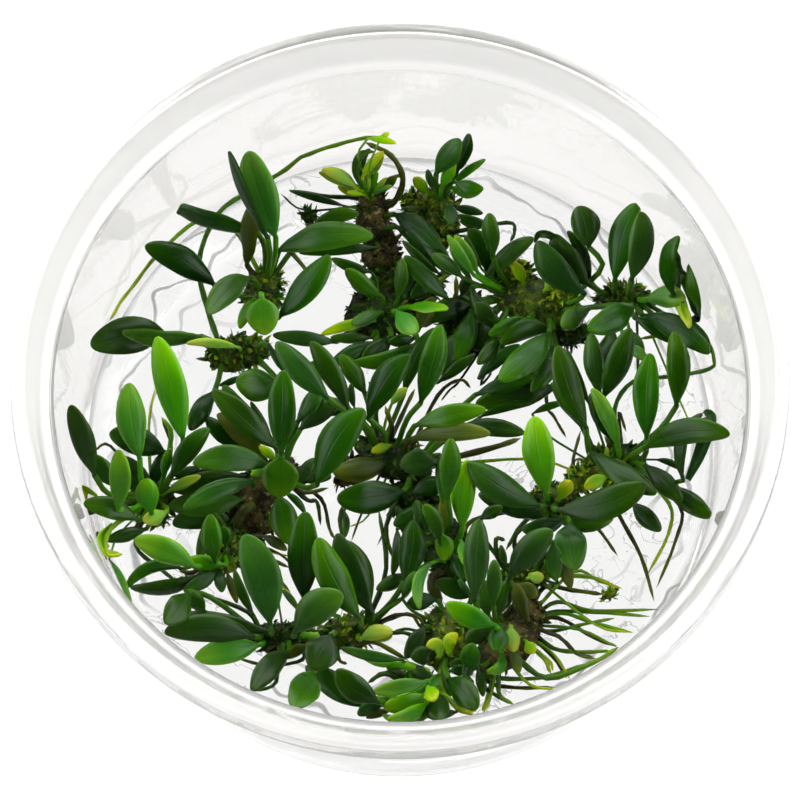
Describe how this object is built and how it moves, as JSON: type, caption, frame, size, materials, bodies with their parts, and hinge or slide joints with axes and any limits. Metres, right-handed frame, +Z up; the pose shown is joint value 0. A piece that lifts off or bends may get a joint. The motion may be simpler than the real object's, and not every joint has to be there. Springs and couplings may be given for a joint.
{
  "type": "tissue culture anubias plantlets in a clear cup",
  "caption": "Open clear plastic cup with nutrient gel, filled with small clumps of dwarf aquarium plants: short rhizomes, narrow leaves and thin roots.",
  "frame": {"origin": "centre of the cup's underside, on the surface that it stands on", "axes": "+Z up through the cup's mouth; the picture's near side is -Y and its right is +X"},
  "size_m": [0.1, 0.0994, 0.045],
  "materials": {
    "clear_plastic": "clear, smooth moulded",
    "clear_gel": "clear, wet",
    "plant_dark": "old dark green leaf, waxy",
    "plant_green": "mid green leaf, waxy",
    "plant_fresh": "young bright green leaf, waxy",
    "plant_olive": "olive to brown rhizome, damp"
  },
  "bodies": {
    "root": {"cup": "clear_plastic", "gel": "clear_gel", "leaf_back_left_1": "plant_fresh", "leaf_back_left_2": "plant_dark", "leaf_back_right_1": "plant_dark", "leaf_back_right_2": "plant_dark", "leaf_back_right_3": "plant_green", "leaf_back_right_4": "plant_green", "leaf_centre_1": "plant_dark", "leaf_centre_2": "plant_green", "leaf_centre_3": "plant_dark", "leaf_centre_front_1": "plant_fresh", "leaf_centre_right_1": "plant_green", "leaf_centre_right_2": "plant_dark", "leaf_centre_right_3": "plant_dark", "leaf_centre_right_4": "plant_green", "leaf_front_centre_1": "plant_dark", "leaf_front_centre_left_1": "plant_green", "leaf_front_left_1": "plant_green", "leaf_front_left_2": "plant_green", "leaf_front_left_3": "plant_dark", "leaf_front_left_4": "plant_dark", "leaf_front_right_1": "plant_fresh", "leaf_front_right_2": "plant_dark", "leaf_left_1": "plant_dark", "leaf_left_back_ball_1": "plant_dark", "leaf_left_back_ball_2": "plant_green", "leaf_left_back_ball_3": "plant_green", "leaf_left_centre_1": "plant_dark", "leaf_left_centre_2": "plant_dark", "leaf_left_centre_3": "plant_green", "leaf_left_centre_4": "plant_dark", "leaf_left_front_1": "plant_green", "leaf_right_1": "plant_green", "leaf_right_2": "plant_dark", "leaf_right_3": "plant_dark", "leaf_right_4": "plant_dark", "leaf_right_back_1": "plant_dark", "leaf_right_back_2": "plant_green", "leaf_right_front_1": "plant_dark", "rhizome_back_centre": "plant_olive", "rhizome_back_left": "plant_olive", "rhizome_back_right": "plant_olive", "rhizome_back_right_centre": "plant_olive", "rhizome_centre": "plant_olive", "rhizome_centre_back": "plant_olive", "rhizome_centre_front": "plant_olive", "rhizome_centre_right": "plant_olive", "rhizome_front_centre": "plant_olive", "rhizome_front_centre_left": "plant_olive", "rhizome_front_left": "plant_olive", "rhizome_front_right": "plant_olive", "rhizome_front_right_centre": "plant_olive", "rhizome_left": "plant_olive", "rhizome_left_back_ball": "plant_olive", "rhizome_left_centre": "plant_olive", "rhizome_left_front": "plant_olive", "rhizome_right": "plant_olive", "rhizome_right_back": "plant_olive", "rhizome_right_front": "plant_olive"}
  },
  "joints": []
}
